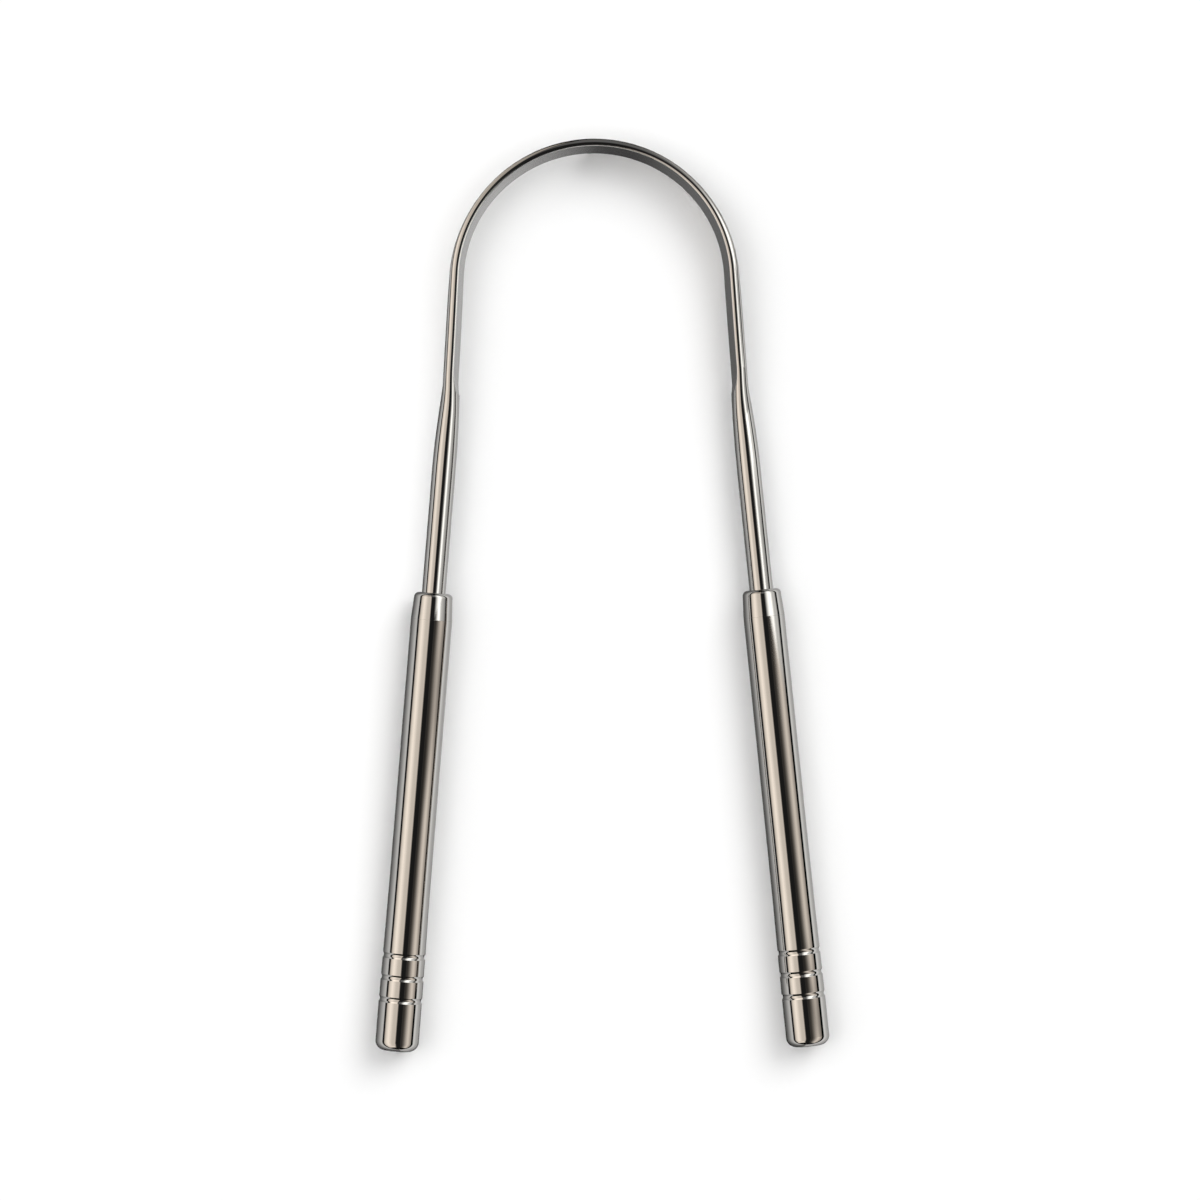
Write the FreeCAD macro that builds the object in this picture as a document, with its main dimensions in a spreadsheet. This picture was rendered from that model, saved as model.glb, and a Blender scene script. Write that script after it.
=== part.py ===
import FreeCAD, Part
import math
import os
from types import SimpleNamespace
import Sketcher

Vector = FreeCAD.Vector
UP = Vector(0, 0, 1)

# Driving dimensions, in millimetres and degrees
SIZES = {
    # Scraping strip: an oval section of four arcs, bent to a half round about the crown's centre and flared
    # so that its upper edge stands further out
    "crown_radius": 22.62,
    "blade_width": 7.7,
    "blade_thickness": 1.2,
    "blade_face_lean": 3.0,
    "strip_flare": 4.6,
    # Flex lines, where the strip is parted so that each arm can bend
    "flex_angle": 55.0,
    "flex_gap": 0.2,
    # Arms: the strip thickens to the shoulder, where its flats run out, and rounds off to the rod
    "side_splay": 4.2,
    "side_length": 17.85,
    "shoulder_width": 5.4,
    "shoulder_thickness": 2.05,
    "shoulder_face_lean": 11.0,
    "shoulder_flare": 9.0,
    "flat_runout": 8.0,
    "bend_radius": 375.0,
    "leg_splay": 5.3,
    "neck_length": 7.65,
    "rod_length": 19.95,
    "rod_diameter": 3.9,
    "rod_tail_length": 14.0,
    # Ferrules: cone, bore for the rod and spigot
    "nose_diameter": 6.25,
    "nose_length": 4.46,
    "nose_corner_radius": 0.8,
    "ferrule_spigot_length": 12.0,
    # Handle tubes, flared towards the tail
    "handle_diameter": 6.82,
    "tube_bore": 5.4,
    "tube_length": 62.75,
    "flare_length": 18.0,
    "groove_width": 0.95,
    "groove_depth": 0.2,
    "groove_pitch": 3.62,
    # End caps
    "tail_diameter": 7.14,
    "cap_length": 8.45,
    "cap_spigot_length": 9.0,
    "tail_corner_radius": 1.55,
    # Clearance of the glued fits
    "fit_gap": 0.02,
}
GROOVES_ON_TUBE = 3
SECTIONS_ON_TAPER = 10
SECTIONS_ON_NECK = 8
ROUND_FACE_LEAN = 35.0
SIDES = {"left": -1, "right": 1}


class Size:
    """A number from the sheet, with the expression that gives it."""

    def __init__(self, value, text):
        self.value = value
        self.text = text

    def combine(self, sign, other, value):
        text = other.text if isinstance(other, Size) else str(other)
        return Size(value, f"({self.text} {sign} {text})")

    def __add__(self, other):
        return self.combine("+", other, self.value + number(other))

    def __sub__(self, other):
        return self.combine("-", other, self.value - number(other))

    def __mul__(self, other):
        return self.combine("*", other, self.value * number(other))

    def __truediv__(self, other):
        return self.combine("/", other, self.value / number(other))

    def __rsub__(self, other):
        return Size(other - self.value, f"({other} - {self.text})")

    def __neg__(self):
        return 0 - self


def number(size):
    return size.value if isinstance(size, Size) else size


def sine(angle):
    return Size(math.sin(math.radians(angle.value)), f"sin({angle.text})")


def cosine(angle):
    return Size(math.cos(math.radians(angle.value)), f"cos({angle.text})")


def tangent(angle):
    return Size(math.tan(math.radians(angle.value)), f"tan({angle.text})")


def read_sheet():
    """Fills the sheet of driving dimensions and reads each of them back as a Size."""
    sheet = doc.addObject("Spreadsheet::Sheet", "sizes")
    for row, (alias, value) in enumerate(SIZES.items(), start=1):
        sheet.set(f"A{row}", alias)
        sheet.set(f"B{row}", str(value))
        sheet.setAlias(f"B{row}", alias)
    doc.recompute()
    return SimpleNamespace(**{alias: Size(float(sheet.get(alias)), f"sizes.{alias}") for alias in SIZES})


def new_sketch(body, name, role):
    """A sketch on one of the body's own origin planes."""
    plane = next(item for item in body.Origin.OriginFeatures if item.Role == role)
    sketch = body.newObject("Sketcher::SketchObject", name)
    sketch.AttachmentSupport = [(plane, "")]
    sketch.MapMode = "FlatFace"
    return sketch


def bind(sketch, size, *constraint):
    """Adds a dimension to a sketch and binds it to the sheet."""
    index = sketch.addConstraint(Sketcher.Constraint(*constraint, size.value))
    sketch.setExpression(f"Constraints[{index}]", size.text)


def place_point(sketch, shape, point, across, along):
    """Fixes a point of a sketch at two distances from the sketch's origin."""
    for kind, axis, distance in (("DistanceX", -2, across), ("DistanceY", -1, along)):
        if distance.value == 0:
            sketch.addConstraint(Sketcher.Constraint("PointOnObject", shape, point, axis))
        else:
            bind(sketch, distance, kind, -1, 1, shape, point)


def turn(body, kind, name, sketch, angle):
    """Turns a sketch about its own upright axis, to add or to cut."""
    feature = body.newObject(kind, name)
    feature.Profile = sketch
    feature.ReferenceAxis = (sketch, ["V_Axis"])
    feature.Midplane = True
    feature.Angle = angle.value
    feature.setExpression("Angle", angle.text)
    doc.recompute()


def turned_body(label, corners):
    """A body turned about its own Z axis, from the corners (radius, height) of its half section."""
    body = doc.addObject("PartDesign::Body", label)
    sketch = new_sketch(body, f"{label}_outline", "XZ_Plane")
    points = [Vector(across.value, along.value, 0) for across, along in corners]
    for start, end in zip(points, points[1:] + points[:1]):
        sketch.addGeometry(Part.LineSegment(start, end), False)
    for line, (across, along) in enumerate(corners):
        previous = (line - 1) % len(corners)
        sketch.addConstraint(Sketcher.Constraint("Coincident", previous, 2, line, 1))
        place_point(sketch, line, 1, across, along)
    turn(body, "PartDesign::Revolution", f"{label}_turning", sketch, full_turn)
    return body


def round_rim(body, radius, height, corner):
    """Fillets the rim that has this radius and height on a turned body."""
    base = body.Tip
    rim = next(
        index
        for index, edge in enumerate(base.Shape.Edges, start=1)
        if isinstance(edge.Curve, Part.Circle)
        and math.isclose(edge.Curve.Radius, radius.value)
        and math.isclose(edge.BoundBox.ZMax, height.value, abs_tol=1e-6)
    )
    fillet = body.newObject("PartDesign::Fillet", f"{body.Name}_corner")
    fillet.Base = (base, [f"Edge{rim}"])
    fillet.Radius = corner.value
    fillet.setExpression("Radius", corner.text)
    doc.recompute()


def cut_groove(body, name, surface, height):
    """Turns a round-bottomed groove into a surface of this radius, at this height."""
    before = body.Shape.Volume
    half_width = size.groove_width / 2
    radius = (half_width * half_width + size.groove_depth * size.groove_depth) / (size.groove_depth * 2)
    across = surface + radius - size.groove_depth
    sketch = new_sketch(body, f"{name}_section", "XZ_Plane")
    centre = Vector(across.value, height.value, 0)
    sketch.addGeometry(Part.Circle(centre, UP, radius.value), False)
    place_point(sketch, 0, 3, across, height)
    bind(sketch, radius, "Radius", 0)
    turn(body, "PartDesign::Groove", name, sketch, full_turn)
    if body.Shape.Volume >= before:
        raise RuntimeError(f"{name} cuts nothing")


def ferrule(label):
    """Cone on top of a spigot, bored through for the rod; height 0 is the seam with the tube."""
    corners = [
        (rod_bore_radius, -size.nose_length),
        (nose_radius, -size.nose_length),
        (handle_radius, zero),
        (spigot_radius, zero),
        (spigot_radius, size.ferrule_spigot_length),
        (rod_bore_radius, size.ferrule_spigot_length),
    ]
    body = turned_body(label, corners)
    round_rim(body, nose_radius, -size.nose_length, size.nose_corner_radius)
    return body


def handle_tube(label):
    """Tube that flares towards the tail, with grooves down to the seam with the end cap."""
    corners = [
        (tube_bore_radius, zero),
        (handle_radius, zero),
        (handle_radius, size.tube_length - size.flare_length),
        (tail_radius, size.tube_length),
        (tube_bore_radius, size.tube_length),
    ]
    body = turned_body(label, corners)
    flare_rate = (tail_radius - handle_radius) / size.flare_length
    for index in range(GROOVES_ON_TUBE):
        rise = size.groove_pitch * index
        surface = tail_radius - flare_rate * rise
        cut_groove(body, f"{label}_groove_{index + 1}", surface, size.tube_length - rise)
    return body


def end_cap(label):
    """Rounded tail with half of the last groove, on a spigot inside the tube."""
    spigot_end = size.tube_length - size.cap_spigot_length
    tail_end = size.tube_length + size.cap_length
    corners = [
        (zero, spigot_end),
        (spigot_radius, spigot_end),
        (spigot_radius, size.tube_length),
        (tail_radius, size.tube_length),
        (tail_radius, tail_end),
        (zero, tail_end),
    ]
    body = turned_body(label, corners)
    cut_groove(body, f"{label}_groove", tail_radius, size.tube_length)
    round_rim(body, tail_radius, tail_end, size.tail_corner_radius)
    return body


def oval_edge(width, thickness, lean):
    """Radius of an oval's narrow ends, whose wide faces lean by this angle where they meet the ends."""
    share = tangent(lean / 2)
    return (thickness / 2 - width / 2 * share) / (1 - share)


def scraper_blade(label):
    """Strip of flared oval section, bent about the crown's centre between the two flex lines."""
    body = doc.addObject("PartDesign::Body", label)
    sketch = new_sketch(body, f"{label}_section", "YZ_Plane")
    face = strip_edge + strip_half / sine(size.blade_face_lean)
    bulge = face.value - size.blade_thickness.value / 2
    lean = math.radians(size.blade_face_lean.value)
    flare = math.radians(size.strip_flare.value)
    middle = Vector(size.crown_radius.value, 0, 0)
    upright = Vector(math.sin(flare), math.cos(flare), 0)
    outward = Vector(math.cos(flare), -math.sin(flare), 0)
    arcs = [
        (middle + upright * strip_half.value, strip_edge.value, lean, math.pi - lean),
        (middle + outward * bulge, face.value, math.pi - lean, math.pi + lean),
        (middle - upright * strip_half.value, strip_edge.value, math.pi + lean, 2 * math.pi - lean),
        (middle - outward * bulge, face.value, -lean, lean),
    ]
    for centre, radius, start, end in arcs:
        circle = Part.Circle(centre, UP, radius)
        sketch.addGeometry(Part.ArcOfCircle(circle, start - flare, end - flare), False)
    for arc in range(len(arcs)):
        sketch.addConstraint(Sketcher.Constraint("Tangent", arc, 2, (arc + 1) % len(arcs), 1))
    place_point(sketch, 0, 3, size.crown_radius + strip_offset, strip_rise)
    place_point(sketch, 2, 3, size.crown_radius - strip_offset, -strip_rise)
    bind(sketch, strip_edge, "Radius", 0)
    bind(sketch, face, "Radius", 1)
    sketch.addConstraint(Sketcher.Constraint("Equal", 0, 2))
    sketch.addConstraint(Sketcher.Constraint("Equal", 1, 3))
    gap_angle = size.flex_gap / size.crown_radius * 180 / math.pi
    turn(body, "PartDesign::Revolution", f"{label}_bend", sketch, size.flex_angle * 2 - gap_angle)
    return body


def runs():
    """Centre line of an arm from the crown's middle: length and curvature of each run."""
    splay = math.radians(size.side_splay.value)
    turned = math.radians(size.leg_splay.value) - splay
    return [
        (size.crown_radius.value * (math.pi / 2 - splay), -1 / size.crown_radius.value),
        (size.side_length.value, 0.0),
        (size.bend_radius.value * turned, 1 / size.bend_radius.value),
        (math.inf, 0.0),
    ]


def centre_line(distance, crown_y):
    """Point and heading at a distance along the right arm, from the crown's middle heading along +X."""
    x, y, heading = 0.0, crown_y, 0.0
    for length, curvature in runs():
        step = min(distance, length)
        distance -= step
        turned = heading + step * curvature
        if curvature:
            x += (math.sin(turned) - math.sin(heading)) / curvature
            y += (math.cos(heading) - math.cos(turned)) / curvature
        else:
            x += step * math.cos(heading)
            y += step * math.sin(heading)
        heading = turned
    return x, y, heading


def on_centre_line(side, distance):
    """Placement on an arm's centre line, with Z along it."""
    x, y, heading = centre_line(distance, crown_top)
    along = Vector(side * math.cos(heading), math.sin(heading), 0)
    return FreeCAD.Placement(Vector(side * x, y, mid_height), FreeCAD.Rotation(UP, along))


def blend(first, last, share):
    return first + (last - first) * share


def ease(share):
    """Slow start and slow end, held at 0 and 1 outside the range."""
    share = min(max(share, 0.0), 1.0)
    return share * share * (3 - 2 * share)


def arm_section(distance):
    """Width, thickness, face lean and flare of an arm, from the flex line over the shoulder to the rod."""
    taper = ease((distance - flex_distance) / (shoulder_distance - flex_distance))
    neck = max(0.0, (distance - shoulder_distance) / (round_distance - shoulder_distance))
    rounding = neck * (2 - neck)
    runout = ease((distance - shoulder_distance) / size.flat_runout.value + 0.25)
    width = blend(size.blade_width.value, size.shoulder_width.value, taper)
    thickness = blend(size.blade_thickness.value, size.shoulder_thickness.value, taper)
    lean = blend(size.blade_face_lean.value, size.shoulder_face_lean.value, taper)
    width = blend(width, size.rod_diameter.value, runout)
    thickness = blend(thickness, size.rod_diameter.value, rounding)
    lean = blend(lean, ROUND_FACE_LEAN, runout)
    flare = blend(size.strip_flare.value, size.shoulder_flare.value, taper)
    flare = blend(flare, 0.0, runout)
    return width, thickness, lean, flare


def section_wire(side, distance):
    """Closed wire of four arcs, square to the arm's centre line."""
    width, thickness, lean, flare = arm_section(distance)
    x, y, heading = centre_line(distance, crown_top)
    middle = Vector(side * x, y, mid_height)
    level = Vector(-side * math.sin(heading), math.cos(heading), 0)
    upright = UP * math.cos(math.radians(flare)) + level * math.sin(math.radians(flare))
    outward = level * math.cos(math.radians(flare)) - UP * math.sin(math.radians(flare))
    share = math.tan(math.radians(lean) / 2)
    edge = (thickness / 2 - width / 2 * share) / (1 - share)
    rise = width / 2 - edge + edge * math.sin(math.radians(lean))
    reach = edge * math.cos(math.radians(lean))
    corners = ((1, -1), (1, 1), (-1, 1), (-1, -1))
    joins = [middle + upright * (rise * a) + outward * (reach * b) for a, b in corners]
    peaks = [upright * (width / 2), outward * (thickness / 2)]
    peaks += [-peak for peak in peaks]
    ends = joins[1:] + joins[:1]
    return Part.Wire([
        Part.Arc(start, middle + peak, end).toShape()
        for start, peak, end in zip(joins, peaks, ends)
    ])


def arm(label, side):
    """Strip from the flex line that thickens to the shoulder, rounds off to the rod and ends in its tail."""
    stations = [
        blend(flex_distance, shoulder_distance, index / SECTIONS_ON_TAPER)
        for index in range(SECTIONS_ON_TAPER)
    ]
    stations += [
        blend(shoulder_distance, round_distance, index / SECTIONS_ON_NECK)
        for index in range(SECTIONS_ON_NECK + 1)
    ]
    strip = doc.addObject("Part::Feature", f"{label}_strip")
    strip.Shape = Part.makeLoft([section_wire(side, distance) for distance in stations], True, False)
    rod = doc.addObject("Part::Cylinder", f"{label}_rod")
    rod.setExpression("Radius", rod_radius.text)
    rod.setExpression("Height", (size.rod_length + size.nose_length + size.rod_tail_length).text)
    rod.Placement = on_centre_line(side, round_distance)
    whole = doc.addObject("Part::Fuse", label)
    whole.Base = strip
    whole.Tool = rod
    whole.Refine = True
    doc.recompute()
    return whole


def check_and_write(pieces):
    """Stops on any failed object, then writes each piece to its own file."""
    doc.recompute()
    failed = [item.Label for item in doc.Objects if "Invalid" in item.State or "Error" in item.State]
    failed += [piece.Label for piece in pieces if piece.Shape.isNull() or not piece.Shape.isValid()]
    failed += [piece.Label for piece in pieces if len(piece.Shape.Solids) != 1]
    if failed:
        raise RuntimeError(f"failed objects: {failed}")
    os.makedirs("parts", exist_ok=True)
    for piece in pieces:
        piece.Shape.exportStep(f"parts/{piece.Label}.step")


doc = FreeCAD.newDocument("tongue_scraper")
size = read_sheet()
zero = Size(0.0, "0")
full_turn = Size(360.0, "360")

# Radii and fits that several pieces share
rod_radius = size.rod_diameter / 2
rod_bore_radius = rod_radius + size.fit_gap
nose_radius = size.nose_diameter / 2
handle_radius = size.handle_diameter / 2
tube_bore_radius = size.tube_bore / 2
spigot_radius = tube_bore_radius - size.fit_gap
tail_radius = size.tail_diameter / 2

# Section of the strip: radius of its edges, and where their centres lie from its middle
strip_edge = oval_edge(size.blade_width, size.blade_thickness, size.blade_face_lean)
strip_half = size.blade_width / 2 - strip_edge
strip_rise = strip_half * cosine(size.strip_flare)
strip_offset = strip_half * sine(size.strip_flare)

# Stations along an arm's centre line, from the crown's middle
crown_run, side_run, bend_run = [length for length, curvature in runs()[:3]]
flex_distance = size.crown_radius.value * math.radians(size.flex_angle.value) + size.flex_gap.value / 2
shoulder_distance = crown_run + side_run
round_distance = shoulder_distance + bend_run + size.neck_length.value
seam_distance = round_distance + size.rod_length.value + size.nose_length.value

# The origin is under the middle of the whole tool, on the surface that it lies on
mid_height = max(strip_rise.value + strip_edge.value, tail_radius.value)
crown_reach = max(strip_offset.value + strip_edge.value, size.blade_thickness.value / 2)
corner = size.tail_corner_radius.value
corner_distance = seam_distance + size.tube_length.value + size.cap_length.value - corner
corner_x, corner_y, tail_heading = centre_line(corner_distance, 0.0)
tail_y = corner_y - (tail_radius.value - corner) * math.cos(tail_heading) - corner
crown_top = -(tail_y + crown_reach) / 2

blade = scraper_blade("scraper_blade")
crown_centre = Vector(0, crown_top - size.crown_radius.value, mid_height)
blade.Placement = FreeCAD.Placement(crown_centre, FreeCAD.Rotation())
pieces = [blade]
for name, side in SIDES.items():
    pieces.append(arm(f"{name}_arm", side))
    for make in (ferrule, handle_tube, end_cap):
        piece = make(f"{name}_{make.__name__}")
        piece.Placement = on_centre_line(side, seam_distance)
        pieces.append(piece)
check_and_write(pieces)
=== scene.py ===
"""Looks of a polished steel tongue scraper.

A bow in two halves, and on each arm a collar, a grip and a tail.
"""
import math

import bpy
import numpy as np
from mathutils import Matrix, Vector


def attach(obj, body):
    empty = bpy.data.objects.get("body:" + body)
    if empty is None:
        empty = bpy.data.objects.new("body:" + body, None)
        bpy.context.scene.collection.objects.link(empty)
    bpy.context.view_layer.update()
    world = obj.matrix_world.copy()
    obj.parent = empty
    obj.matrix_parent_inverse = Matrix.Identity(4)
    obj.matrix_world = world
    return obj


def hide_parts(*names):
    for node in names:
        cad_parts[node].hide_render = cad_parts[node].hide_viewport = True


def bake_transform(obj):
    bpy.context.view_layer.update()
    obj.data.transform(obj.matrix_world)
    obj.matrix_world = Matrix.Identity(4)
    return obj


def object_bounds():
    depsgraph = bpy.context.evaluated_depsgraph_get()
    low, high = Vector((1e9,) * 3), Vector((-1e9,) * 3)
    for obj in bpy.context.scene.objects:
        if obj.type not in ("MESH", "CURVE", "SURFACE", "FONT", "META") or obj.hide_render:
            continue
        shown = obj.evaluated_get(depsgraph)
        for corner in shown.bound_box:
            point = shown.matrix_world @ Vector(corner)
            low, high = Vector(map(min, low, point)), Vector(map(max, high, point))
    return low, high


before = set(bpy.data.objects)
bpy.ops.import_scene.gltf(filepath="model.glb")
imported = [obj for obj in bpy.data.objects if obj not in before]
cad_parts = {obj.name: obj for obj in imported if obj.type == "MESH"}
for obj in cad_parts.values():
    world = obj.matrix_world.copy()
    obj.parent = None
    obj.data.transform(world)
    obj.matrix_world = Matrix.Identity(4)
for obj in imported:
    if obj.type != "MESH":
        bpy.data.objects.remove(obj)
solid_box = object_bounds()

MM = 0.001
SIDES = {"left": -1, "right": 1}
UP = np.array((0.0, 0.0, 1.0))

# Bow, in millimetres and degrees: a thin strip round the crown, shoulders, necks and round rods
CROWN_RADIUS = 22.62
STRIP_WIDTH = 7.7
STRIP_THICKNESS = 1.2
STRIP_FACE_LEAN = 3.0
STRIP_FLARE = 4.6
BAR_THICKNESS = 2.6
BAR_FACE_LEAN = 8.0
FLEX_ANGLE = 55.0
SIDE_SPLAY = 4.2
SIDE_LENGTH = 17.85
SHOULDER_WIDTH = 5.4
SHOULDER_THICKNESS = 2.05
SHOULDER_FLARE = 9.0
BEND_RADIUS = 375.0
LEG_SPLAY = 5.3
NECK_LENGTH = 7.65
NARROWING_LENGTH = 8.0
ROD_LENGTH = 19.95
ROD_DIAMETER = 3.9
ROD_FACE_LEAN = 35.0
ROD_TAIL_LENGTH = 14.0

# The bow's flats: how far they lie from the bar's middle, how soft their corners are, and the
# stations between which the inner one ends in its tip
INNER_FLAT_REACH = 0.6
SHOULDER_FLAT_REACH = 0.7
FLAT_CORNER = 0.2
FLAT_END_START = 49.4
FLAT_TIP = 53.8

# Shares of the bow's lengths
FLAT_SHIFT = 0.28  # of the flats' difference, by which the bar's middle moves over
OUTER_FLAT_KEPT = 0.3  # of the way to the shoulder, before the outer flat runs out
NECK_START = 0.08  # of the neck, to each side of the shoulder, for its first curve
NARROWING_LEAD = 0.25  # of the narrowing, which lies before the shoulder
BEND_LEAD = 0.35  # of the way to the flex line, where the first of the bend stations lies

# Handles: radii and heights along each handle's axis, from the seam between collar and grip
ROD_BORE_RADIUS = 1.97
NOSE_RADIUS = 3.125
NOSE_LENGTH = 4.46
NOSE_ROUNDING = 0.8
COLLAR_SPIGOT_LENGTH = 12.0
SPIGOT_RADIUS = 2.68
HANDLE_RADIUS = 3.41
TAIL_RADIUS = 3.57
TUBE_BORE_RADIUS = 2.7
TUBE_LENGTH = 62.75
FLARE_LENGTH = 18.0
FLARE_ROUNDING = 1500.0
GROOVES = 3
GROOVE_PITCH = 3.62
GROOVE_HALF_WIDTH = 0.475
GROOVE_FLANK_DEPTH = 0.285
GROOVE_BOTTOM_ROUNDING = 0.6
GROOVE_SHOULDER_ROUNDING = 0.12
CAP_LENGTH = 8.45
CAP_SPIGOT_LENGTH = 9.0
TAIL_ROUNDING = 1.55
EDGE_BREAK = 0.04
SEAM_BREAK = 0.015

# How finely the surfaces are divided
ROWS_APART = 0.25
ROWS_APART_AT_TIP = 0.08
ROWS_ON_ROD = 40
EDGE_STEPS = 60
FACE_STEPS = 12
STEPS_ROUND_AXIS = 160
STEPS_ON_ARC = 12
SHARP_ANGLE = 40.0

# Finishes: colours, roughness, the patterns' scales, and in metres how deep their lines are cut
# The bow's colour is painted lighter along its inner flat's corner, a painted highlight, and darker
# on its flats, partly for their duller brushed finish and partly as painted shade
BOW_COLOUR = (0.9, 0.885, 0.86)
BOW_WORN_AND_SHADED_COLOUR = (0.5, 0.485, 0.465)
BOW_DETAIL = 3.0
BRUSHING_STRETCH = (60.0, 60.0, 9000.0)
BRUSHING_DEPTH = 4e-6
BLOTCH_SCALE = 260.0
TURNED_COLOUR = (0.66, 0.645, 0.62)
TURNED_WORN_COLOUR = (0.55, 0.535, 0.51)
TURNED_DETAIL = 4.0
COLLAR_ROUGHNESS = 0.04
HANDLE_ROUGHNESS = 0.045
RING_SCALE = 7.0
RING_DEPTH = 4e-7
SMUDGE_SCALE = 170.0
NOISE_ROUGHNESS = 0.6

# Studio: soft boxes that only the steel mirrors, and a pale floor and surround
BOX_DISTANCE = 900.0
BOX_STEPS = 48
BRIGHTEST = 2.5
WARM = (1.11, 1.0, 0.89)
WHITE = (1.0, 0.995, 0.97)
NEUTRAL = (1.0, 1.0, 1.0)
FLOOR_SIZE = 8000.0
FLOOR_COLOUR = (0.9, 0.9, 0.9)
SURROUND = (1.0, 1.0, 1.0)

# Camera, in millimetres: where it looks, how far off it stands and how wide it sees
VIEW_CENTRE = (0.38, -0.79)
VIEW_WIDTH = 197.9
VIEW_DISTANCE = 770.0
CAMERA_SIDESTEP = -10.8
CAMERA_ROLL = 0.62
SENSOR_WIDTH = 36.0

# Stations along the bow's middle line, in millimetres from the middle of the crown. The last two
# bound a stretch round the flex line.
FLEX_STATION = CROWN_RADIUS * math.radians(FLEX_ANGLE)
ARC_LENGTH = CROWN_RADIUS * math.radians(90 - SIDE_SPLAY)
SHOULDER_STATION = ARC_LENGTH + SIDE_LENGTH
BEND_LENGTH = BEND_RADIUS * math.radians(LEG_SPLAY - SIDE_SPLAY)
ROUND_STATION = SHOULDER_STATION + BEND_LENGTH + NECK_LENGTH
SEAM_STATION = ROUND_STATION + ROD_LENGTH + NOSE_LENGTH
ROD_END_STATION = SEAM_STATION + ROD_TAIL_LENGTH
BEND_START = BEND_LEAD * FLEX_STATION
BEND_END = 2 * FLEX_STATION - BEND_START


def mix(first, last, share):
    """Goes from first to last as share goes from 0 to 1."""
    return first + (last - first) * share


def ease(share):
    """Smooth step: flat at 0 and 1, and held there outside."""
    share = np.clip(share, 0.0, 1.0)
    return share * share * (3 - 2 * share)


def oval_edge(width, thickness, lean):
    """Radius of an oval's narrow ends, if its wide faces meet them leaning by this angle."""
    share = np.tan(lean / 2)
    return (thickness / 2 - width / 2 * share) / (1 - share)


# The middle line lies in the box of the solids: half-way up, and at the crown's top as far inside
# as the flared strip reaches out
strip_edge = oval_edge(STRIP_WIDTH, STRIP_THICKNESS, math.radians(STRIP_FACE_LEAN))
flare_reach = (STRIP_WIDTH / 2 - strip_edge) * math.sin(math.radians(STRIP_FLARE))
crown_reach = flare_reach + strip_edge
crown_top = solid_box[1].y / MM - crown_reach
mid_height = (solid_box[0].z + solid_box[1].z) / 2 / MM


def middle_line(station):
    """Points and heading of the right half's middle line.

    It is a chain of four runs of constant curvature. Each run adds the chord of its own arc, from
    the heading that the runs before it have reached, for as much of its length as the station has
    passed.
    """
    x = np.zeros_like(station)
    y = np.full_like(station, crown_top)
    heading = 0.0
    passed = 0.0
    angle = np.zeros_like(station)
    runs = (
        (ARC_LENGTH, -1 / CROWN_RADIUS),
        (SIDE_LENGTH, 0.0),
        (BEND_LENGTH, 1 / BEND_RADIUS),
        (ROD_END_STATION, 0.0),
    )
    for length, curvature in runs:
        along = np.clip(station - passed, 0.0, length)
        turned = curvature * along
        chord = along * np.sinc(turned / (2 * np.pi))
        x = x + chord * np.cos(heading + turned / 2)
        y = y + chord * np.sin(heading + turned / 2)
        angle = angle + turned
        heading += curvature * length
        passed += length
    return x, y, angle


def bow_section(station):
    """Sizes of the bar's section: width, thickness, face lean, flare, shift and the two reaches.

    The shift is how far the bar's middle lies outside the middle line, and the reaches are how far
    its inner and outer flats lie from that middle. The bar is domed above and below. Round the
    crown a flat is cut into it on both sides. Along the shoulder the outer flat runs out, the inner
    one ends in a rounded tip, and the bar goes on to become the round rod. The neck starts on a
    short parabola, so that it leaves the shoulder smoothly.
    """
    taper = ease((station - FLEX_STATION) / (SHOULDER_STATION - FLEX_STATION))
    neck = (station - SHOULDER_STATION) / (ROUND_STATION - SHOULDER_STATION)
    neck = np.clip(neck, -NECK_START, 1.0)
    neck = np.where(neck < NECK_START, (neck + NECK_START) ** 2 / (4 * NECK_START), neck)
    rounding = neck * (2 - neck)
    narrowing = ease((station - SHOULDER_STATION) / NARROWING_LENGTH + NARROWING_LEAD)
    width = mix(mix(STRIP_WIDTH, SHOULDER_WIDTH, taper), ROD_DIAMETER, narrowing)
    thickness = mix(BAR_THICKNESS, ROD_DIAMETER, rounding)
    lean = mix(BAR_FACE_LEAN, ROD_FACE_LEAN, rounding)
    flare = mix(mix(STRIP_FLARE, SHOULDER_FLARE, taper), 0.0, narrowing)
    inner = mix(INNER_FLAT_REACH, SHOULDER_FLAT_REACH, taper)
    outer = mix(STRIP_THICKNESS, SHOULDER_THICKNESS, taper) - inner
    shift = mix((inner - outer) * FLAT_SHIFT, 0.0, rounding)
    ending = np.clip((station - FLAT_END_START) / (FLAT_TIP - FLAT_END_START), 0.0, 1.0)
    clear = thickness / 2 + FLAT_CORNER
    inner = mix(inner, clear, 1 - np.sqrt(1 - ending * ending))
    outer = mix(outer, clear, ease(station / SHOULDER_STATION - OUTER_FLAT_KEPT))
    return width, thickness, np.radians(lean), np.radians(flare), shift, inner, outer


def cut_flat(out, reach):
    """Distance out from the bar's middle after the cut, and how flat the surface is there.

    It is cut off at the reach. Over the corner, which spans twice FLAT_CORNER, a parabola leads
    from the uncut surface to the flat.
    """
    share = np.clip(0.5 + (out - reach) / (2 * FLAT_CORNER), 0.0, 1.0)
    return mix(out, reach, share) - FLAT_CORNER * share * (1 - share), share


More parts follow.
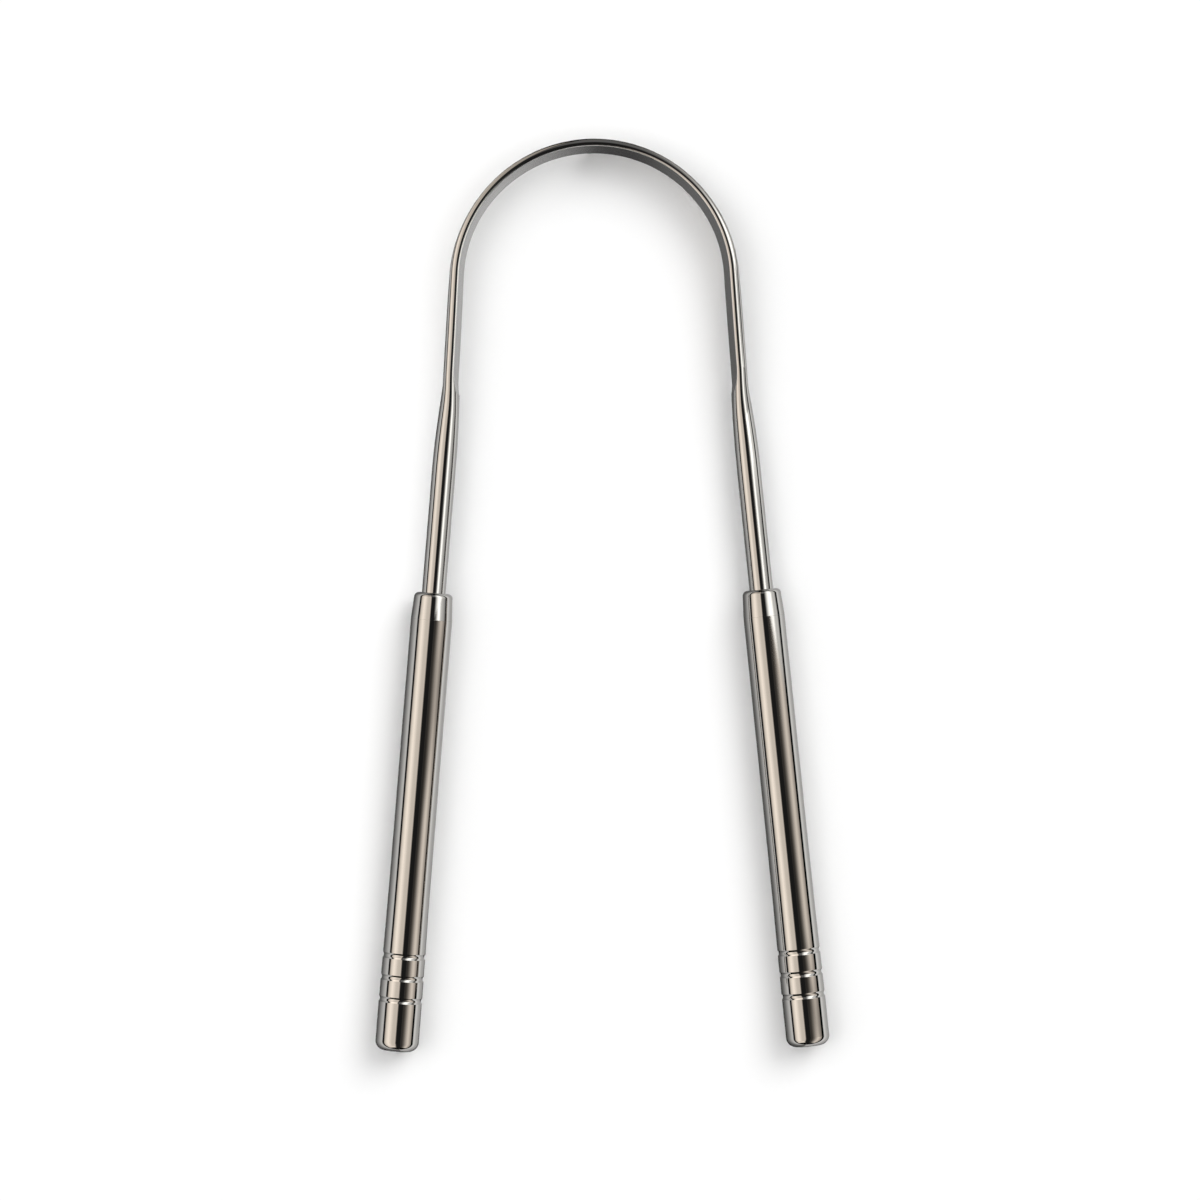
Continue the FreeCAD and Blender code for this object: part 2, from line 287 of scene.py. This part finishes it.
def bow_grid(side):
    """Half the bow as a grid, whose rows are stations and whose columns run round the section.

    Gives its points, how flat it is there, and how near the inner flat's corner is. The bar's
    section is an oval of four arcs that touch: two narrow ends above and below, and two wide faces,
    which the flats cut off. It is carried along the middle line, square to it, and turned outwards
    at the top by the flare. The left half is the right one mirrored. The first row is narrow, so
    that the shading of the two halves meets at the crown's middle.
    """
    station = np.concatenate((
        [0.0, ROWS_APART / 4],
        np.arange(ROWS_APART, FLAT_END_START, ROWS_APART),
        np.arange(FLAT_END_START, FLAT_TIP + 2 * ROWS_APART, ROWS_APART_AT_TIP),
        np.arange(FLAT_TIP + 3 * ROWS_APART, ROUND_STATION, ROWS_APART),
        np.linspace(ROUND_STATION, ROD_END_STATION, ROWS_ON_ROD),
    ))[:, None]
    width, thickness, lean, flare, shift, inner, outer = bow_section(station)
    edge = oval_edge(width, thickness, lean)
    half = width / 2 - edge
    face = edge + half / np.sin(lean)
    bulge = half / np.tan(lean)
    level = np.zeros_like(half)
    arcs = (
        (level, half, edge, lean, np.pi - lean, EDGE_STEPS),
        (bulge, level, face, np.pi - lean, np.pi + lean, FACE_STEPS),
        (level, -half, edge, np.pi + lean, 2 * np.pi - lean, EDGE_STEPS),
        (-bulge, level, face, -lean, lean, FACE_STEPS),
    )
    outwards, upwards = [], []
    for centre_out, centre_up, radius, start, end, steps in arcs:
        turned = start + (end - start) * np.arange(steps) / steps
        outwards.append(centre_out + radius * np.cos(turned))
        upwards.append(centre_up + radius * np.sin(turned))
    out = np.concatenate(outwards, axis=1)
    rise = np.concatenate(upwards, axis=1)
    cut_in, inner_flat = cut_flat(-out, inner)
    cut_out, outer_flat = cut_flat(out, outer)
    out = shift + np.where(out < 0, -cut_in, cut_out)
    level_out = out * np.cos(flare) + rise * np.sin(flare)
    x, y, heading = middle_line(station)
    points = np.stack((
        side * (x - level_out * np.sin(heading)),
        y + level_out * np.cos(heading),
        mid_height + rise * np.cos(flare) - out * np.sin(flare),
    ), axis=-1)
    # The corner mark, which fades before the flat's tip, places a painted highlight in the bow's
    # colour
    fading = 1 - ease((station - FLAT_END_START) / (FLAT_TIP - FLAT_END_START))
    corner = 4 * inner_flat * (1 - inner_flat) * fading
    return points, np.maximum(inner_flat, outer_flat), corner


def rounded(corners):
    """Outline through corners (radius, height, rounding), as an array of points.

    A rounded corner becomes the arc that touches both of its sides: its centre lies on the
    bisector, and its points swing evenly from the one touching point to the other.
    """
    places = np.array([corner[:2] for corner in corners])
    outline = []
    for index, (_, _, rounding) in enumerate(corners):
        place = places[index]
        if rounding == 0:
            outline.append(place[None, :])
            continue
        to_last = places[index - 1] - place
        to_next = places[(index + 1) % len(corners)] - place
        to_last = to_last / np.linalg.norm(to_last)
        to_next = to_next / np.linalg.norm(to_next)
        half_angle = math.acos(float(np.clip(to_last @ to_next, -1.0, 1.0))) / 2
        reach = rounding / math.tan(half_angle)
        bisector = (to_last + to_next) / np.linalg.norm(to_last + to_next)
        centre = place + bisector * rounding / math.sin(half_angle)
        sweep = math.pi - 2 * half_angle
        share = np.linspace(0.0, 1.0, 2 * STEPS_ON_ARC + 1)[:, None]
        first = place + to_last * reach - centre
        last = place + to_next * reach - centre
        swing = np.sin((1 - share) * sweep) * first + np.sin(share * sweep) * last
        outline.append(centre + swing / math.sin(sweep))
    return np.concatenate(outline)


def collar_outline():
    """Closed half section of a collar: a bored cone with a rounded nose, above a spigot."""
    return rounded((
        (ROD_BORE_RADIUS, -NOSE_LENGTH, EDGE_BREAK),
        (NOSE_RADIUS, -NOSE_LENGTH, NOSE_ROUNDING),
        (HANDLE_RADIUS, 0.0, SEAM_BREAK),
        (SPIGOT_RADIUS, 0.0, 0.0),
        (SPIGOT_RADIUS, COLLAR_SPIGOT_LENGTH, EDGE_BREAK),
        (ROD_BORE_RADIUS, COLLAR_SPIGOT_LENGTH, EDGE_BREAK),
    ))


def handle_outlines():
    """Half sections of a grip, closed, and of a tail, open at the axis.

    Both come from one outer outline, which flares towards the tail and dips into round-bottomed
    grooves with softened shoulders. It is cut where the last groove is deepest, which is the seam.
    """
    flare_start = TUBE_LENGTH - FLARE_LENGTH

    def surface(height):
        return mix(HANDLE_RADIUS, TAIL_RADIUS, min(1.0, (height - flare_start) / FLARE_LENGTH))

    corners = [
        (TUBE_BORE_RADIUS, 0.0, 0.0),
        (HANDLE_RADIUS, 0.0, SEAM_BREAK),
        (HANDLE_RADIUS, flare_start, FLARE_ROUNDING),
    ]
    for step in reversed(range(GROOVES)):
        height = TUBE_LENGTH - step * GROOVE_PITCH
        above, below = height - GROOVE_HALF_WIDTH, height + GROOVE_HALF_WIDTH
        bottom = surface(height) - GROOVE_FLANK_DEPTH
        corners.append((surface(above), above, GROOVE_SHOULDER_ROUNDING))
        corners.append((bottom, height, GROOVE_BOTTOM_ROUNDING))
        corners.append((surface(below), below, GROOVE_SHOULDER_ROUNDING))
    tail_end = TUBE_LENGTH + CAP_LENGTH
    corners.append((TAIL_RADIUS, tail_end, TAIL_ROUNDING))
    corners.append((TAIL_RADIUS - 2 * TAIL_ROUNDING, tail_end, 0.0))
    outline = rounded(corners)
    seam = np.argmin(np.abs(outline[:, 1] - TUBE_LENGTH))
    grip = np.concatenate((outline[:seam + 1], [(TUBE_BORE_RADIUS, TUBE_LENGTH)]))
    spigot_top = TUBE_LENGTH - CAP_SPIGOT_LENGTH
    spigot = rounded((
        (SPIGOT_RADIUS - 2 * EDGE_BREAK, spigot_top, 0.0),
        (SPIGOT_RADIUS, spigot_top, EDGE_BREAK),
        (SPIGOT_RADIUS, TUBE_LENGTH, 0.0),
    ))
    return grip, np.concatenate((spigot, outline[seam:]))


def turned_grid(side, outline):
    """An outline turned about the handle's axis, whose columns run round the axis.

    A point stands at its height along the axis from the seam, and at its radius from it: the
    cosine of the turn goes level and the sine goes up.
    """
    x, y, _ = middle_line(np.array(SEAM_STATION))
    splay = math.radians(LEG_SPLAY)
    axis = np.array((side * math.sin(splay), -math.cos(splay), 0.0))
    level = np.array((math.cos(splay), side * math.sin(splay), 0.0))
    turn = np.linspace(0.0, 2 * np.pi, STEPS_ROUND_AXIS, endpoint=False)
    ring = np.cos(turn)[:, None] * level + np.sin(turn)[:, None] * UP
    seam = np.array((side * float(x), float(y), mid_height))
    return seam + outline[:, None, 1:] * axis + outline[:, None, :1] * ring


def steel_piece(name, grid, finish, closed_rows, **marks):
    """A closed mesh from a grid of points in millimetres, whose columns run round it.

    Neighbouring points make four-sided faces. The first row joins the last where the rows run
    round as well, and otherwise each end is closed by a fan to its middle. Marks are numbers kept
    on the points for the finish. The faces are turned round if they enclose a negative volume.
    """
    rows, columns = grid.shape[:2]
    points = grid.reshape(-1, 3) * MM
    index = np.arange(rows * columns).reshape(rows, columns)
    here = index if closed_rows else index[:-1]
    below = np.roll(index, -1, axis=0) if closed_rows else index[1:]
    quads = np.stack((here, below, np.roll(below, -1, axis=1), np.roll(here, -1, axis=1)), axis=-1)
    quads = quads.reshape(-1, 4)
    triangles = np.stack((quads[:, [0, 1, 2]], quads[:, [0, 2, 3]])).reshape(-1, 3)
    fans = np.empty((0, 3), dtype=int)
    if not closed_rows:
        first, last = len(points), len(points) + 1
        middles = [points[index[row]].mean(axis=0) for row in (0, -1)]
        points = np.concatenate((points, middles))
        fans = np.concatenate((
            np.stack((np.full(columns, first), index[0], np.roll(index[0], -1)), axis=-1),
            np.stack((np.full(columns, last), np.roll(index[-1], -1), index[-1]), axis=-1),
        ))
        triangles = np.concatenate((triangles, fans))
    a, b, c = (points[triangles[:, corner]] for corner in range(3))
    if np.einsum("ij,ij->i", a, np.cross(b, c)).sum() < 0:
        quads, fans = quads[:, ::-1], fans[:, ::-1]
    mesh = bpy.data.meshes.new(name)
    mesh.from_pydata(points, [], quads.tolist() + fans.tolist())
    mesh.shade_smooth()
    mesh.set_sharp_from_angle(angle=math.radians(SHARP_ANGLE))
    for mark, values in marks.items():
        padded = np.zeros(len(points), dtype=np.float32)
        padded[:rows * columns] = np.broadcast_to(values, (rows, columns)).ravel()
        mesh.attributes.new(mark, "FLOAT", "POINT").data.foreach_set("value", padded)
    mesh.materials.append(finish)
    piece = bpy.data.objects.new(name, mesh)
    bpy.context.scene.collection.objects.link(piece)
    return piece


class Term:
    """A node's output in a finish. Sums and products of terms and numbers add Math nodes."""

    def __init__(self, finish, socket):
        self.finish = finish
        self.socket = socket

    def combine(self, operation, first, second):
        return self.finish.node("ShaderNodeMath", {"operation": operation}, {0: first, 1: second})

    def __add__(self, other):
        return self.combine("ADD", self, other)

    def __sub__(self, other):
        return self.combine("SUBTRACT", self, other)

    def __rsub__(self, other):
        return self.combine("SUBTRACT", other, self)

    def __mul__(self, other):
        return self.combine("MULTIPLY", self, other)

    __radd__ = __add__
    __rmul__ = __mul__


class Finish:
    """A material, or the given node tree, that is built node by node."""

    def __init__(self, name, tree=None):
        if tree is None:
            self.material = bpy.data.materials.new(name)
            self.material.use_nodes = True
            tree = self.material.node_tree
        self.tree = tree
        self.tree.nodes.clear()

    def node(self, kind, settings=None, inputs=None, output=0):
        """Adds a node: its settings, with a ramp's stops, then its sockets' values or links."""
        node = self.tree.nodes.new(kind)
        for setting, value in (settings or {}).items():
            if setting == "stops":
                elements = node.color_ramp.elements
                while len(elements) < len(value):
                    elements.new(1.0)
                for element, (position, colour) in zip(elements, value):
                    element.position = position
                    element.color = (*colour, 1.0)
            else:
                setattr(node, setting, value)
        for socket, value in (inputs or {}).items():
            if isinstance(value, Term):
                self.tree.links.new(value.socket, node.inputs[socket])
            else:
                node.inputs[socket].default_value = value
        return Term(self, node.outputs[output]) if len(node.outputs) else None

    def mixed(self, first, last, factor, blend="MIX"):
        """A colour between two others, or their product where the blend is MULTIPLY."""
        return self.node("ShaderNodeMix", {"data_type": "RGBA", "blend_type": blend},
                         {"Factor": factor, 6: first, 7: last}, output=2)

    def mark(self, name):
        """A number kept on the mesh's points."""
        return self.node("ShaderNodeAttribute", {"attribute_name": name}, output="Fac")

    def noise(self, vector, scale, detail):
        """Noise about 0, from about -1 to 1."""
        value = self.node("ShaderNodeTexNoise", {"noise_dimensions": "3D"}, {
            "Vector": vector, "Scale": scale, "Detail": detail, "Roughness": NOISE_ROUGHNESS})
        return value * 2 - 1

    def stretched(self, *scale):
        """Object coordinates, stretched by a factor along each axis."""
        place = self.node("ShaderNodeTexCoord", output="Object")
        return self.node("ShaderNodeMapping", {"vector_type": "POINT"},
                         {"Vector": place, "Scale": scale})

    def steel(self, colour, worn_and_shaded, shade, roughness, lines, line_depth):
        """Polished steel: the shade leads from its colour to the darker one, worn on turned steel
        and partly painted shade on the bow, and lines are cut in.
        """
        base = self.mixed((*colour, 1.0), (*worn_and_shaded, 1.0), shade)
        bump = self.node("ShaderNodeBump", inputs={
            "Strength": 1.0, "Distance": line_depth, "Height": lines})
        shader = self.node("ShaderNodeBsdfPrincipled", inputs={
            "Base Color": base, "Metallic": 1.0, "Roughness": roughness, "Normal": bump})
        self.node("ShaderNodeOutputMaterial", inputs={"Surface": shader})
        return self.material


def bow_steel():
    """Polished rod steel: its flats are brushed and rougher, painted darker partly for their duller
    finish and partly as painted shade, and the inner flat's corner is rougher and painted lighter
    as a painted highlight.
    """
    finish = Finish("bow_steel")
    flat = finish.mark("flat")
    corner = finish.mark("corner")
    brushing = finish.noise(finish.stretched(*BRUSHING_STRETCH), 1.0, BOW_DETAIL)
    blotches = finish.noise(finish.stretched(1.0, 1.0, 1.0), BLOTCH_SCALE, BOW_DETAIL)
    # Painted light in the colour: the flats go darker, partly for their duller brushed finish and
    # partly as painted shade, and the inner flat's corner goes lighter as a painted highlight. The
    # blotches are the steel's own uneven tone.
    shade = 0.7 + flat * 0.14 + flat * brushing * 0.12 + blotches * 0.06 - corner * 0.8
    roughness = 0.05 + flat * 0.11 + flat * brushing * 0.05 + blotches * 0.012 + corner * 0.3
    return finish.steel(BOW_COLOUR, BOW_WORN_AND_SHADED_COLOUR, shade, roughness, flat * brushing,
                        BRUSHING_DEPTH)


def turned_steel(name, polish):
    """Turned steel, polished to this roughness: faint rings of the wheel, and finger smudges."""
    finish = Finish(name)
    along = finish.mark("along")
    place = finish.node("ShaderNodeCombineXYZ", inputs={"X": along})
    rings = finish.noise(place, RING_SCALE, TURNED_DETAIL)
    smudges = finish.noise(finish.stretched(1.0, 1.0, 1.0), SMUDGE_SCALE, TURNED_DETAIL)
    shade = 0.3 + rings * 0.12 + smudges * 0.2
    roughness = polish + rings * 0.008 + smudges * 0.012
    return finish.steel(TURNED_COLOUR, TURNED_WORN_COLOUR, shade, roughness, rings, RING_DEPTH)


# The pieces of each kind, for boxes that only some of them mirror, and those that shade the key sun
mirrored = {"bow": [], "collars": [], "grips": [], "tails": []}
shades = bpy.data.collections.new("shades")


def dress_bow(side_name, side, finish):
    """Half of the bow, from the crown's middle over to its arm."""
    grid, flat, corner = bow_grid(side)
    # The flat mark darkens the bow's colour, partly as painted shade, and the corner mark lightens
    # it as a painted highlight
    half = steel_piece(f"{side_name}_bow", grid, finish, False, flat=flat, corner=corner)
    bend = [middle_line(np.array(station))[:2] for station in (BEND_START, BEND_END)]
    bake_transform(half)
    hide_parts("scraper_blade", f"{side_name}_arm")
    mirrored["bow"].append(half)
    if side_name == "right":
        shades.objects.link(half)


def dress_handle(side_name, side, collar_finish, handle_finish):
    """Collar, grip and tail of one arm."""
    grip, tail = handle_outlines()
    pieces = (
        ("collar", collar_outline(), True, "ferrule", collar_finish, "ferrule_steel"),
        ("grip", grip, True, "handle_tube", handle_finish, "handle_steel"),
        ("tail", tail, False, "end_cap", handle_finish, "handle_steel"),
    )
    for name, outline, closed, node, finish, slot in pieces:
        grid = turned_grid(side, outline)
        piece = steel_piece(f"{side_name}_{name}", grid, finish, closed, along=outline[:, 1:])
        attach(piece, f"{side_name}_arm")
        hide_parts(f"{side_name}_{node}")
        mirrored[f"{name}s"].append(piece)
        shades.objects.link(piece)


bow_finish = bow_steel()
collar_finish = turned_steel("collar_steel", COLLAR_ROUGHNESS)
handle_finish = turned_steel("handle_steel", HANDLE_ROUGHNESS)
for side_name, side in SIDES.items():
    dress_bow(side_name, side, bow_finish)
    dress_handle(side_name, side, collar_finish, handle_finish)


def sky_direction(a, b):
    """Direction (sin a cos b, sin b, cos a cos b).

    From straight up, a runs to the right and b towards the crown.
    """
    return np.sin(a) * np.cos(b), np.sin(b) + 0 * a, np.cos(a) * np.cos(b)


def soft_box(name, colour, across, tilt, pieces=()):
    """A glowing patch of a sphere round the tool, seen only in the steel.

    All pieces mirror it, or only the given ones. A point of it lies in the direction a, b. Across
    and tilt give (degrees, level) stops over a and over b, and the glow is their product.
    """
    a_range, b_range = ((stops[0][0], stops[-1][0]) for stops in (across, tilt))
    share = np.linspace(0.0, 1.0, BOX_STEPS)
    a = np.radians(mix(*a_range, share))[:, None]
    b = np.radians(mix(*b_range, share))[None, :]
    points = BOX_DISTANCE * MM * np.stack(sky_direction(a, b), axis=-1).reshape(-1, 3)
    index = np.arange(BOX_STEPS * BOX_STEPS).reshape(BOX_STEPS, BOX_STEPS)
    quads = np.stack((index[:-1, :-1], index[:-1, 1:], index[1:, 1:], index[1:, :-1]), axis=-1)
    mesh = bpy.data.meshes.new(name)
    mesh.from_pydata(points, [], quads.reshape(-1, 4).tolist())
    glow = Finish(name)
    levels = []
    for mark, stops, (low, high), values in (
            ("across", across, a_range, np.repeat(share, BOX_STEPS)),
            ("tilt", tilt, b_range, np.tile(share, BOX_STEPS))):
        attribute = mesh.attributes.new(mark, "FLOAT", "POINT")
        attribute.data.foreach_set("value", values.astype(np.float32))
        ramp = [((angle - low) / (high - low), (level / BRIGHTEST,) * 3) for angle, level in stops]
        levels.append(glow.node("ShaderNodeValToRGB", {"stops": ramp}, {"Fac": glow.mark(mark)}))
    tint = glow.mixed(levels[0], levels[1], 1.0, "MULTIPLY")
    tint = glow.mixed(tint, (*colour, 1.0), 1.0, "MULTIPLY")
    strength = BRIGHTEST * BRIGHTEST
    light = glow.node("ShaderNodeEmission", inputs={"Color": tint, "Strength": strength})
    clear = glow.node("ShaderNodeBsdfTransparent")
    shader = glow.node("ShaderNodeAddShader", inputs={0: light, 1: clear})
    glow.node("ShaderNodeOutputMaterial", inputs={"Surface": shader})
    mesh.materials.append(glow.material)
    box = bpy.data.objects.new(name, mesh)
    bpy.context.scene.collection.objects.link(box)
    box.visible_camera = False
    box.visible_diffuse = False
    box.visible_shadow = False
    if pieces:
        box.light_linking.receiver_collection = bpy.data.collections.new(f"mirrors_{name}")
        for piece in pieces:
            box.light_linking.receiver_collection.objects.link(piece)


# Lights that the steel mirrors from above
ROD_GLOW = (
    (15, 0.02), (20, 0.12), (24, 0.35), (28, 0.75), (32, 1.25), (36, 1.9), (43, 1.8), (48, 1.05),
    (53, 0.8), (58, 0.68), (64, 0.58), (70, 0.5), (75, 0.38), (80, 0.12), (84, 0.0))
handles = mirrored["grips"] + mirrored["tails"]
soft_box(
    "left_box", WARM,
    ((-74, 0.0), (-69, 0.6), (-65, 0.85), (-58, 1.05), (-49, 1.24), (-40, 1.06), (-30, 0.8),
     (-20, 0.74), (-13.5, 0.78), (-8, 0.04), (-7, 0.0)),
    ((-42, 0.0), (-38, 1.0), (18, 1.0), (24, 0.75), (30, 0.65), (50, 0.6), (58, 0.0)))
soft_box(
    "tail_box", WARM,
    ((-72, 0.0), (-64, 0.9), (-20, 0.9), (-10, 0.0)),
    ((-62, 0.0), (-57, 1.2), (-42, 1.0), (-38, 0.0)),
    mirrored["tails"])
soft_box(
    "groove_box", WARM,
    ((-72, 0.0), (-64, 1.1), (-20, 1.1), (-10, 0.0)),
    ((24, 0.0), (36, 0.5), (68, 1.1), (76, 0.0)),
    handles)
soft_box(
    "key_box", WHITE,
    ((12, 0.03), (16, 0.25), (22, 0.8), (28, 1.4), (34, 1.75), (50, 1.75), (55, 1.2), (61, 0.75),
     (67, 0.75), (75, 0.75), (81, 0.25), (85, 0.0)),
    ((3.4, 0.0), (4.4, 1.0), (55, 1.0), (62, 0.0)),
    mirrored["collars"] + handles)
soft_box(
    "crown_box", WHITE,
    ((12, 0.02), (16, 0.25), (22, 1.0), (28, 1.8), (34, 2.2), (50, 2.0), (55, 1.4), (61, 0.95),
     (67, 0.9), (75, 0.9), (81, 0.25), (85, 0.0)),
    ((6.4, 0.0), (7.0, 1.0), (18, 1.0), (27, 0.42), (34, 0.25), (50, 0.2), (60, 0.0)),
    mirrored["bow"])
soft_box(
    "arm_box", WHITE, ROD_GLOW,
    ((-20, 0.0), (-14, 1.0), (6.4, 1.0), (7.0, 0.0)),
    mirrored["bow"])
soft_box(
    "rod_box", WHITE, ROD_GLOW,
    ((-20, 0.0), (-14, 1.0), (3.4, 1.0), (4.4, 0.0)),
    mirrored["collars"])
soft_box(
    "right_box", WARM,
    ((15, 0.02), (20, 0.035), (26, 0.065), (32, 0.14), (38, 0.28), (44, 0.48), (50, 0.66),
     (57, 0.82), (64, 0.73), (71, 0.53), (77, 0.42), (80, 0.2), (82, 0.0)),
    ((-66, 0.0), (-60, 1.0), (-9, 1.05), (-6.5, 0.65), (-5, 0.65), (-2.5, 1.0), (3.4, 1.0),
     (4.4, 0.0)),
    handles)
soft_box(
    "far_box", NEUTRAL,
    ((-10, 0.0), (-4, 0.16), (14, 0.16), (22, 0.0)),
    ((14, 0.0), (22, 1.0), (60, 1.0), (68, 0.0)))
soft_box(
    "ceiling", NEUTRAL,
    ((-12, 0.015), (20, 0.015)),
    ((-85, 1.0), (14, 1.0), (16, 0.0)))

# The ground, as the steel mirrors it: pale at both horizons and darkest left of straight down
soft_box(
    "right_ground", NEUTRAL,
    ((93, 0.0), (97, 0.85), (103, 0.9), (111, 0.75), (122, 0.6), (135, 0.5), (150, 0.5)),
    ((-90, 1.0), (90, 1.0)))
soft_box(
    "under_ground", NEUTRAL,
    ((150, 0.5), (168, 0.55), (175, 0.48), (177.5, 0.34), (180, 0.15), (182.5, 0.13),
     (184.5, 0.115), (186.5, 0.14), (188, 0.185), (192, 0.16), (210, 0.13)),
    ((-90, 1.0), (-55, 1.1), (-42, 0.5), (-30, 0.24), (-15, 0.2), (-11, 0.45), (-9.2, 0.62),
     (-8, 0.74), (-6.5, 0.9), (-5, 1.0), (90, 1.0)))
soft_box(
    "left_ground", NEUTRAL,
    ((210, 0.13), (225, 0.15), (238, 0.28), (249, 0.42), (258, 0.56), (268, 0.7), (274, 0.75),
     (278, 0.0)),
    ((-90, 1.0), (90, 1.0)))

# A lit patch low in front, for the corner of the crown's inner flat
soft_box(
    "crown_corner_box", WHITE,
    ((110, 0.0), (130, 0.9), (230, 0.9), (250, 0.0)),
    ((-89, 0.0), (-84, 1.0), (-60, 1.0), (-52, 0.0)),
    mirrored["bow"])


def soft_sun(name, strength, across, tilt, spread, blockers=None):
    """A wide sun that lights the floor from the direction a, b and isn't mirrored in the steel.

    All pieces cast its shadow, or only those in the collection of blockers.
    """
    sun = bpy.data.lights.new(name, "SUN")
    sun.energy = strength
    sun.angle = math.radians(spread)
    # Sampled directly only, because otherwise pieces that aren't blockers darken the floor too
    sun.cycles.use_multiple_importance_sampling = False
    lamp = bpy.data.objects.new(name, sun)
    direction = Vector(sky_direction(math.radians(across), math.radians(tilt)))
    lamp.rotation_euler = direction.to_track_quat("Z", "Y").to_euler()
    lamp.visible_glossy = False
    bpy.context.scene.collection.objects.link(lamp)
    lamp.light_linking.blocker_collection = blockers


soft_sun("key_sun", 1.4, across=38, tilt=32, spread=40, blockers=shades)
soft_sun("left_sun", 0.92, across=-45, tilt=5, spread=60)
soft_sun("fill_sun", 2.05, across=4, tilt=11, spread=100)

reach = FLOOR_SIZE / 2 * MM
floor_corners = [(-reach, -reach, 0), (reach, -reach, 0), (reach, reach, 0), (-reach, reach, 0)]
floor_mesh = bpy.data.meshes.new("floor")
floor_mesh.from_pydata(floor_corners, [], [(0, 1, 2, 3)])
floor_finish = Finish("floor")
paper = floor_finish.node("ShaderNodeBsdfDiffuse", inputs={"Color": (*FLOOR_COLOUR, 1.0)})
floor_finish.node("ShaderNodeOutputMaterial", inputs={"Surface": paper})
floor_mesh.materials.append(floor_finish.material)
floor = bpy.data.objects.new("floor", floor_mesh)
bpy.context.scene.collection.objects.link(floor)
floor.visible_glossy = False

# The surround is only seen by the camera: the suns light the floor, and the boxes light the steel
world = bpy.data.worlds.new("surround")
world.use_nodes = True
surround = Finish("surround", world.node_tree)
backdrop = surround.node("ShaderNodeBackground", inputs={
    "Color": (*SURROUND, 1.0), "Strength": 1.0})
surround.node("ShaderNodeOutputWorld", inputs={"Surface": backdrop})
world.cycles_visibility.diffuse = False
world.cycles_visibility.glossy = False
bpy.context.scene.world = world
bpy.context.scene.view_settings.view_transform = "Standard"

# Camera: almost straight above the tool, a little to its left
roll = math.radians(CAMERA_ROLL)
picture_up = Vector((math.sin(roll), math.cos(roll), 0.0))
picture_right = Vector((math.cos(roll), -math.sin(roll), 0.0))
aim = Vector((*VIEW_CENTRE, mid_height)) * MM
stand = aim + (picture_right * CAMERA_SIDESTEP + Vector((0, 0, VIEW_DISTANCE))) * MM
back = (stand - aim).normalized()
right = picture_up.cross(back).normalized()
camera_data = bpy.data.cameras.new("camera")
camera_data.sensor_width = SENSOR_WIDTH
camera_data.lens = SENSOR_WIDTH * (stand - aim).length / (VIEW_WIDTH * MM)
camera = bpy.data.objects.new("camera", camera_data)
camera.matrix_world = Matrix((right, back.cross(right), back)).transposed().to_4x4()
camera.location = stand
bpy.context.scene.collection.objects.link(camera)
bpy.context.scene.camera = camera
